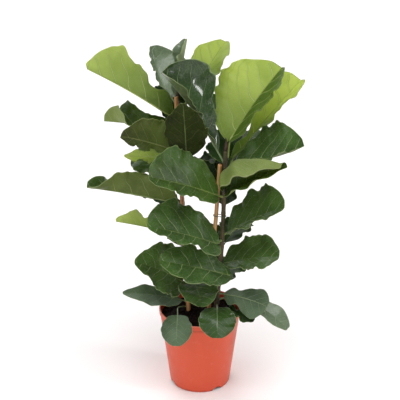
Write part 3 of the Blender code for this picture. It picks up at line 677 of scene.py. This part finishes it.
def potMaterial():
    # injection-moulded polypropylene: satin terracotta red with a fine grain, dusty, darker in patches at
    # the foot
    top = potForm["height"]
    underRim = top - potForm["rimBand"]
    material, tree, shader, place = newMaterial("polypropylene_terracotta", 0.38, ior=1.49)
    shader.inputs["Specular IOR Level"].default_value = 0.30
    height = addNode(tree, "SeparateXYZ", {0: place}, 2)
    clouds = addNode(tree, "TexNoise", {"Vector": place, "Scale": perMetre(111), "Detail": 3.0})
    clouds = addNode(tree, "MapRange", {0: clouds, 1: 0.3, 2: 0.7, 4: 0.5})
    size = perMetre(16.7)
    dust = addNode(tree, "TexNoise", {"Vector": place, "Scale": size, "Detail": 4.0, "Roughness": 0.7})
    dust = addNode(tree, "MapRange", {0: dust, 1: 0.58, 2: 0.75, 4: 0.18})
    # darker in patches over the lowest 7 mm
    foot = addNode(tree, "MapRange", {0: height, 2: 0.007, 3: 1.0, 4: 0.0})
    footMottle = addNode(tree, "TexNoise", {"Vector": place, "Scale": perMetre(8.33), "Detail": 3.0})
    footMottle = addNode(tree, "MapRange", {0: footMottle, 1: 0.35, 2: 0.6, 4: 0.75})
    stain = addNode(tree, "Math", {0: foot, 1: footMottle}, operation="MULTIPLY")
    # painted shade darkens the corner under the rim band, and a painted highlight lightens the lip
    corner = addNode(tree, "MapRange", {0: height, 1: underRim - 0.010, 2: underRim - 0.0005, 4: 0.55})
    below = addNode(tree, "Math", {0: height, 1: underRim + 0.001}, operation="LESS_THAN")
    corner = addNode(tree, "Math", {0: corner, 1: below}, operation="MULTIPLY")
    lip = addNode(tree, "MapRange", {0: height, 1: top - 0.0035, 2: top - 0.0002, 4: 0.6})
    # over the base: clouds, dust, patches at the foot, then the painted shade and painted highlight
    masks, shade = (clouds, dust, stain, corner, lip), "#D9583A"
    for mask, colour in zip(masks, ("#CD4E34", "#E09880", "#6A352C", "#8E3A28", "#EE9078")):
        shade = addNode(tree, "Mix", {0: mask, 6: shade, 7: colour}, 2, data_type="RGBA")
    scuffs = addNode(tree, "TexNoise", {"Vector": place, "Scale": perMetre(25), "Detail": 3.0})
    rough = addNode(tree, "MapRange", {0: scuffs, 1: 0.3, 2: 0.7, 3: 0.33, 4: 0.46})
    # the mould's grain is really finer, and is drawn at 0.7 mm so that it shows
    grain = addNode(tree, "TexNoise", {"Vector": place, "Scale": perMetre(0.714), "Detail": 1.0})
    bump = addNode(tree, "Bump", {"Height": grain, "Distance": 0.00012, "Strength": 0.35})
    feed(tree, shader, Base_Color=shade, Roughness=rough, Normal=bump)
    return material


def makePot():
    form = potForm
    top, outer, floor, wall = form["height"], form["topRadius"], form["floor"], form["wall"]
    lip, band, foot = form["lipRadius"], form["bandCorner"], form["footCorner"]
    underRim = top - form["rimBand"]
    inner = outer - form["rimStep"] - wall
    # the inside, from the middle of the floor up to the rim
    profile = [(0, floor), (potRadius(0.003) - wall - foot, floor), (potRadius(0.005) - wall, floor + foot)]
    profile += [(potRadius(z) - wall, z) for z in np.linspace(0.02, underRim, 12)]
    # the lip and the rim band
    profile += [(inner + 0.001, top - 0.004)]
    profile += roundedCorner((inner + 2 * lip, top - lip), lip, 180, 90)
    profile += roundedCorner((outer - lip, top - lip), lip, 90, 0)
    profile += [(outer - 0.0001, top - 0.006)]
    profile += roundedCorner((outer - band - 0.0005, underRim + band), band, 0, -90)
    # the outside, down to the middle of the underside
    profile += [(potRadius(underRim) + 0.0004, underRim - 0.0002), (potRadius(underRim), underRim - 0.001)]
    profile += [(potRadius(z), z) for z in np.linspace(underRim - 0.004, 0.004, 24)]
    profile += roundedCorner((form["baseRadius"] - foot + 0.0002, foot), foot, 0, -90)
    profile += [(0.06, 0.0), (0.03, 0.0), (0, 0.0)]
    pot = addObject("pot_source", spunMesh("pot_shell", profile, form["steps"]))
    cutters = []
    for heading in form["notchHeadings"]:
        # an arched notch in the foot, cut by a flattened cylinder that lies across the wall
        halfWide = form["notchWidth"] / 2
        laid = Matrix.Rotation(math.pi / 2, 3, "Y")
        turned = Matrix.Rotation(math.radians(heading), 3, "Z")
        bm = bmesh.new()
        bmesh.ops.create_cone(bm, cap_ends=True, segments=48, radius1=halfWide, radius2=halfWide,
                              depth=2 * form["notchDepth"])
        bmesh.ops.rotate(bm, cent=(0, 0, 0), matrix=laid, verts=bm.verts)
        bmesh.ops.scale(bm, vec=(1, 1, form["notchHeight"] / halfWide), verts=bm.verts)
        bmesh.ops.translate(bm, vec=(form["baseRadius"], 0, 0), verts=bm.verts)
        bmesh.ops.rotate(bm, cent=(0, 0, 0), matrix=turned, verts=bm.verts)
        cutters.append(addObject("notch", meshFrom(bm, "notch")))
        cut = pot.modifiers.new("Notch", "BOOLEAN")
        cut.operation, cut.solver, cut.object = "DIFFERENCE", "EXACT", cutters[-1]
    depsgraph = bpy.context.evaluated_depsgraph_get()
    finished = bpy.data.meshes.new_from_object(pot.evaluated_get(depsgraph))
    for obj in cutters + [pot]:
        bpy.data.objects.remove(obj)
    shadeSmooth(finished)
    finished.set_sharp_from_angle(angle=math.radians(form["smoothAngle"]))
    finished.materials.clear()
    makePiece("nursery_pot", finished, [potMaterial()], "pot")


soilForm = {
    "level": 0.188, "crown": 0.006,  # the surface at the wall, and how much higher it is in the middle
    "gap": 0.0003,  # what the CAD leaves clear between soil and pot
    "lumps": ((90, 0.0035), (240, 0.002)),  # how many to the metre, and how high
    "chips": 420, "chipSpread": 0.094, "chipTilt": 0.35, "stemRoom": 0.010,
    "chipSize": ((0.004, 0.013), (0.002, 0.006), (0.0012, 0.003)),
    "peatColours": ("#0E0805", "#1C110B", "#3E2418"), "barkColours": ("#170D0A", "#331D15", "#5C382B"),
}


def soilMaterial(name, colours, crumb):
    # moist peat and bark: almost black, matt, with reddish-brown fibres between crumbs of this many mm
    fine = perMetre(crumb)
    material, tree, shader, place = newMaterial(name, 0.85, ior=1.45)
    shader.inputs["Specular IOR Level"].default_value = 0.15
    lumps = addNode(tree, "TexNoise", {"Vector": place, "Scale": fine, "Detail": 5.0, "Roughness": 0.7})
    lumps = addNode(tree, "MapRange", {0: lumps, 1: 0.35, 2: 0.7}, **smoothly)
    fibre = addNode(tree, "TexNoise", {"Vector": place, "Scale": fine * 2.5, "Detail": 2.0})
    fibre = addNode(tree, "MapRange", {0: fibre, 1: 0.62, 2: 0.72, 4: 0.6}, **smoothly)
    shade = addNode(tree, "Mix", {0: lumps, 6: colours[0], 7: colours[1]}, 2, data_type="RGBA")
    shade = addNode(tree, "Mix", {0: fibre, 6: shade, 7: colours[2]}, 2, data_type="RGBA")
    bump = addNode(tree, "Bump", {"Height": lumps, "Distance": 0.002, "Strength": 0.9})
    feed(tree, shader, Base_Color=shade, Normal=bump)
    return material


def makeSoil():
    form = soilForm
    level, crown = form["level"], form["crown"]
    inset = potForm["wall"] + form["gap"]
    edge = potRadius(level) - inset
    floor = potForm["floor"] + form["gap"]
    profile = [(edge * share, level + crown * (1 - share**2)) for share in np.linspace(0, 1, 26)]
    profile += [(potRadius(0.006) - inset, floor + 0.003), (0.06, floor), (0, floor)]
    mesh = spunMesh("soil_body", profile, 110)
    bm = bmesh.new()
    bm.from_mesh(mesh)
    for vert in bm.verts:
        if vert.co.z > level - 0.001 and vert.co.xy.length < edge - 0.001:
            vert.co.z += sum(high * noise.noise(vert.co * many) for many, high in form["lumps"])
    bm.to_mesh(mesh)
    bm.free()
    shadeSmooth(mesh)
    peat = soilMaterial("peat_moist", form["peatColours"], 6.25)
    makePiece("potting_soil", mesh, [peat], "soil")

    # chips of bark lie about on it, clear of the stems
    random = np.random.default_rng(11)
    feet = [Vector(path[0][:2]) for path in stemPaths.values()]
    bm = bmesh.new()
    for _ in range(form["chips"]):
        radius, turn = form["chipSpread"] * math.sqrt(random.random()), random.random() * 2 * math.pi
        spot = Vector((radius * math.cos(turn), radius * math.sin(turn), 0))
        if any((spot.xy - foot).length < form["stemRoom"] for foot in feet):
            continue
        spot.z = level + crown * (1 - (radius / edge) ** 2) + random.uniform(-0.0005, 0.002)
        chip = bmesh.ops.create_cube(bm, size=1)["verts"]
        size = [random.uniform(*span) for span in form["chipSize"]]
        for vert in chip:
            vert.co = [c * s * random.uniform(0.65, 1.1) for c, s in zip(vert.co, size)]
        tiltX = Matrix.Rotation(random.normal(0, form["chipTilt"]), 4, "X")
        tilt = tiltX @ Matrix.Rotation(random.normal(0, form["chipTilt"]), 4, "Y")
        turned = Matrix.Rotation(random.random() * 2 * math.pi, 4, "Z")
        bmesh.ops.transform(bm, matrix=Matrix.Translation(spot) @ turned @ tilt, verts=chip)
    bark = soilMaterial("pine_bark", form["barkColours"], 4.55)
    makePiece("bark_chips", meshFrom(bm, "bark_chips"), [bark])


makePot()
makeSoil()
print("pot and soil made")


def barkMaterial():
    # young ficus bark: thin grey-brown cork with green showing, dotted with pale pores
    material, tree, shader, place = newMaterial("ficus_bark", 0.7, ior=1.45)
    drawn = addNode(tree, "Mapping", {"Vector": place, "Scale": (1.0, 1.0, 0.35)})
    patches = addNode(tree, "TexNoise", {"Vector": drawn, "Scale": perMetre(16.7), "Detail": 4.0})
    patches = addNode(tree, "MapRange", {0: patches, 1: 0.35, 2: 0.65}, **smoothly)
    pores = addNode(tree, "TexNoise", {"Vector": place, "Scale": perMetre(2.38), "Detail": 1.0})
    pores = addNode(tree, "MapRange", {0: pores, 1: 0.62, 2: 0.7, 4: 0.5})
    shade = addNode(tree, "Mix", {0: patches, 6: "#3A3826", 7: "#5A4C34"}, 2, data_type="RGBA")
    shade = addNode(tree, "Mix", {0: pores, 6: shade, 7: "#9A8A66"}, 2, data_type="RGBA")
    bump = addNode(tree, "Bump", {"Height": patches, "Distance": 0.0012, "Strength": 0.8})
    feed(tree, shader, Base_Color=shade, Normal=bump)
    return material


def makeStems():
    # each stem swells a little where a leaf sits
    bark, form = barkMaterial(), stemForm
    for side, path in stemPaths.items():
        heights = np.linspace(path[0][2], path[-1][2], 150)
        joints = np.array([spec["height"] for spec in leaves.values() if spec["stem"] == side])
        swell = np.exp(-(((heights[:, None] - joints[None, :]) / form["jointReach"]) ** 2)).max(axis=1)
        points = [stemCentre(side, height) for height in heights]
        points.insert(0, points[0] - np.array([0, 0, form["planted"]]))
        swell = 0.98 + form["jointSwell"] * swell
        radii = [stemRadius(side, height) * more for height, more in zip(heights, swell)]
        radii.insert(0, radii[0])
        mesh = tubeMesh(f"ficus_stem_{side}", points, radii, 6)
        makePiece(f"ficus_stem_{side}", mesh, [bark], f"stem_{side}")


caneForm = {
    "ends": {
        "left": ((-0.025, 0.003, 0.100), (-0.057, 0.016, 0.762)),
        "right": ((0.016, 0.003, 0.100), (0.048, -0.021, 0.605)),
    },
    "radius": 0.0055, "taper": 0.05,
    "firstKnot": {"left": 0.03, "right": 0.07}, "knotSpacing": 0.115,
    "knotReach": 0.0022, "ring": 0.11, "groove": 0.05,  # each knot is a ring with a groove beside it
}


def bambooMaterial():
    # dried bamboo: glossy straw skin with long fibres, browned in streaks and at the knots
    material, tree, shader, place = newMaterial("bamboo_dried", 0.42, ior=1.5)
    fibres = addNode(tree, "Mapping", {"Vector": place, "Scale": (1.0, 1.0, 0.03)})
    streaks = addNode(tree, "TexNoise", {"Vector": fibres, "Scale": perMetre(6.67), "Detail": 3.0})
    streaks = addNode(tree, "MapRange", {0: streaks, 1: 0.4, 2: 0.62}, **smoothly)
    drawn = addNode(tree, "Mapping", {"Vector": place, "Scale": (1.0, 1.0, 0.12)})
    brown = addNode(tree, "TexNoise", {"Vector": drawn, "Scale": perMetre(16.7), "Detail": 2.0})
    brown = addNode(tree, "MapRange", {0: brown, 1: 0.52, 2: 0.68, 4: 0.7}, **smoothly)
    knot = addNode(tree, "Attribute", output="Fac", attribute_name="knot")
    knot = addNode(tree, "MapRange", {0: knot, 4: 0.85})
    shade = "#D9A86F"
    for mask, colour in ((streaks, "#A8703F"), (brown, "#7A4527"), (knot, "#6B3B22")):
        shade = addNode(tree, "Mix", {0: mask, 6: shade, 7: colour}, 2, data_type="RGBA")
    bump = addNode(tree, "Bump", {"Height": streaks, "Distance": 0.0005, "Strength": 0.5})
    feed(tree, shader, Base_Color=shade, Normal=bump)
    return material


def makeCanes():
    bamboo, form = bambooMaterial(), caneForm
    for side, ends in form["ends"].items():
        low, high = np.array(ends[0]), np.array(ends[1])
        length = np.linalg.norm(high - low)
        along = np.linspace(0, length, 160)
        knots = np.arange(form["firstKnot"][side], length, form["knotSpacing"])
        near = (along[:, None] - knots[None, :]) / form["knotReach"]
        ring = np.exp(-(near**2)).max(axis=1)
        groove = np.exp(-((near - 2.2) ** 2)).max(axis=1)
        sizes = 0.97 + form["ring"] * ring - form["groove"] * groove - form["taper"] * along / length
        radii = form["radius"] * sizes
        points = low + (high - low) * (along / length)[:, None]
        mesh = tubeMesh(f"bamboo_cane_{side}", points, radii, 6)
        # the attribute "knot" is 1 where the knots stain the skin
        place = np.array([vert.co[:] for vert in mesh.vertices])
        where = (place - low) @ (high - low) / length
        stain = np.interp(where, along, np.clip(ring + groove, 0, 1))
        mesh.attributes.new("knot", "FLOAT", "POINT").data.foreach_set("value", stain)
        makePiece(f"bamboo_cane_{side}", mesh, [bamboo], f"stake_{side}")


budForm = {
    "length": {"left": 0.030, "right": 0.034}, "lean": 0.001,
    "places": (0, 0.25, 0.6, 1), "sizes": (0.85, 1.05, 0.65, 0.12),  # against the stem's radius
}


def makeBuds():
    # the dry papery sheath round a growing tip: dull brown, with fibres that run to its point
    material, tree, shader, place = newMaterial("bud_sheath_papery", 0.6, ior=1.45)
    drawn = addNode(tree, "Mapping", {"Vector": place, "Scale": (1.0, 1.0, 0.1)})
    fibres = addNode(tree, "TexNoise", {"Vector": drawn, "Scale": perMetre(3.33), "Detail": 2.0})
    fibres = addNode(tree, "MapRange", {0: fibres, 1: 0.35, 2: 0.65}, **smoothly)
    shade = addNode(tree, "Mix", {0: fibres, 6: "#4A3524", 7: "#2C2018"}, 2, data_type="RGBA")
    bump = addNode(tree, "Bump", {"Height": fibres, "Distance": 0.0006, "Strength": 0.7})
    feed(tree, shader, Base_Color=shade, Normal=bump)
    shares = np.linspace(0, 1, 14)
    sizes = np.interp(shares, budForm["places"], budForm["sizes"])
    for side, length in budForm["length"].items():
        foot = stemCentre(side, stemPaths[side][-1][2])
        lean = budForm["lean"] * np.sin(3 * shares)
        points = [foot + np.array([sideways, 0, length * share]) for sideways, share in zip(lean, shares)]
        mesh = tubeMesh(f"leaf_sheath_{side}", points, stemRadius(side, foot[2]) * sizes, 5)
        makePiece(f"leaf_sheath_{side}", mesh, [material], f"bud_{side}")


def finishTies():
    # garden wire in a green plastic coat: smooth, faintly scuffed; the CAD loops keep their shape
    material, tree, shader, place = newMaterial("tie_plastic_coated_wire", 0.4, ior=1.5)
    scuffs = addNode(tree, "TexNoise", {"Vector": place, "Scale": perMetre(2), "Detail": 2.0})
    scuffs = addNode(tree, "MapRange", {0: scuffs, 1: 0.4, 2: 0.7})
    shade = addNode(tree, "Mix", {0: scuffs, 6: "#2E4A28", 7: "#40603A"}, 2, data_type="RGBA")
    feed(tree, shader, Base_Color=shade)
    for name, node in cadNodes.items():
        if name.startswith("tie_"):
            for slot in node.material_slots:
                slot.material = material


makeStems()
makeCanes()
makeBuds()
finishTies()
print("stems, canes, buds and ties made")


studio = {
    "floorRadius": 14.0,
    "fillStrength": 0.40,  # light from all round; the camera sees the paper sweep behind as plain white
    "lamps": [  # name, where it shines from, strength, angular size
        ("soft_box_left", (-1.0, -1.0, 1.3), 0.45, 45),
        ("window_right", (0.85, -0.2, 0.5), 0.50, 9),
        ("window_front", (0.12, -1.0, 0.1), 0.28, 7),
        ("top_bank", (0.10, -0.30, 1.0), 1.35, 40),
        ("back_bank", (-0.45, 1.0, 0.9), 1.35, 50),
    ],
    "camera": {"place": (0.0, -2.27, 1.44), "pitch": 22.4, "lens": 90.0},
}


def makeStudio():
    # a sweep of matt white paper, faintly warm
    bm = bmesh.new()
    bmesh.ops.create_circle(bm, cap_ends=True, segments=96, radius=studio["floorRadius"])
    floor = addObject("floor", meshFrom(bm, "floor"))
    material, tree, shader, place = newMaterial("paper_backdrop_white", 0.9)
    grain = addNode(tree, "TexNoise", {"Vector": place, "Scale": perMetre(333), "Detail": 2.0})
    shade = addNode(tree, "Mix", {0: grain, 6: "#FDFAFA", 7: "#FAF7F7"}, 2, data_type="RGBA")
    feed(tree, shader, Base_Color=shade)
    floor.data.materials.append(material)

    world = bpy.data.worlds.new("studio")
    world.use_nodes = True
    tree = world.node_tree
    seen = addNode(tree, "LightPath", output="Is Camera Ray")
    strength = addNode(tree, "MapRange", {0: seen, 3: studio["fillStrength"], 4: 1.0})
    background = tree.nodes["Background"]
    background.inputs[0].default_value = (1.0, 1.0, 1.0, 1.0)
    tree.links.new(strength, background.inputs[1])
    bpy.context.scene.world = world
    for name, place, strength, angle in studio["lamps"]:
        light = bpy.data.lights.new(name, "SUN")
        light.energy, light.angle = strength, math.radians(angle)
        lamp = addObject(name, light)
        lamp.location = place
        lamp.rotation_euler = (-Vector(place)).to_track_quat("-Z", "Y").to_euler()
    view = studio["camera"]
    camera = addObject("camera", bpy.data.cameras.new("camera"))
    camera.data.lens = view["lens"]
    camera.location = view["place"]
    camera.rotation_euler = (math.radians(90 - view["pitch"]), 0, 0)
    bpy.context.scene.camera = camera
    bpy.context.scene.view_settings.view_transform = "Standard"


makeStudio()
print("studio lit")
